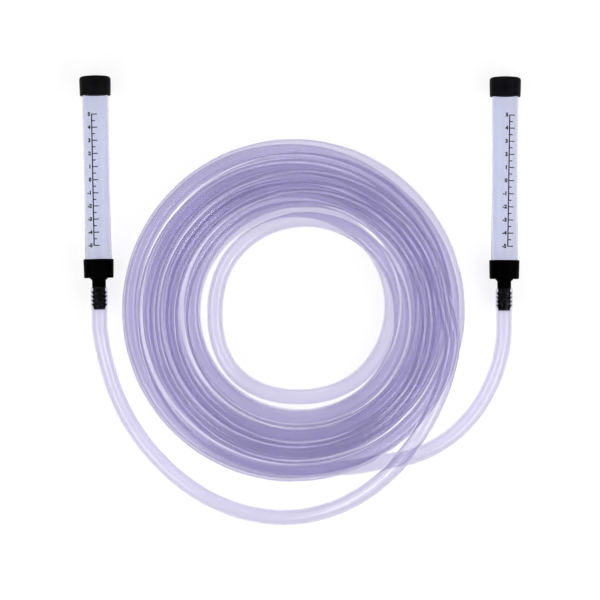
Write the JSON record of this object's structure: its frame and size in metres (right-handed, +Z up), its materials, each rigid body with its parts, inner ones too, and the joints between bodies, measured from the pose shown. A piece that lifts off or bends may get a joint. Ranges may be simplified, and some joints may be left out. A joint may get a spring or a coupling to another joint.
{
  "type": "water level hose tool",
  "caption": "Clear graduated sight tubes with push-on caps and barbed fittings, joined by one long coiled hose; the water in them shows the same height at both ends.",
  "frame": {"origin": "on the surface that the tool lies on, midway between the two capped tubes and half way along them", "axes": "+X from the left tube to the right tube, +Y along the tubes from the hose to the caps, +Z up from the surface"},
  "size_m": [0.3382, 0.3444, 0.05],
  "materials": {
    "clear_tube": "clear rigid plastic",
    "hose": "clear soft plastic with a faint lavender tint",
    "black_cap": "satin soft plastic",
    "black_fitting": "satin moulded plastic",
    "seal": "matt"
  },
  "bodies": {
    "level": {"left_sight_tube": "clear_tube", "left_fitting": "black_fitting", "left_washer": "seal", "left_hose_cuff": "hose", "left_hose_run": "hose", "right_sight_tube": "clear_tube", "right_fitting": "black_fitting", "right_washer": "seal", "right_hose_cuff": "hose", "right_hose_run": "hose", "hose_coil": "hose"},
    "left_cap_off": {"left_cap": "black_cap", "left_cap_seal": "seal"},
    "right_cap_off": {"right_cap": "black_cap", "right_cap_seal": "seal"}
  },
  "joints": [
    {"name": "left_cap_pull", "type": "slide", "parent": "level", "child": "left_cap_off", "axis": [-0.0199, 0.9998, 0], "range_m": [0, 0.06]},
    {"name": "right_cap_pull", "type": "slide", "parent": "level", "child": "right_cap_off", "axis": [0.0052, 1, 0], "range_m": [0, 0.06]}
  ]
}
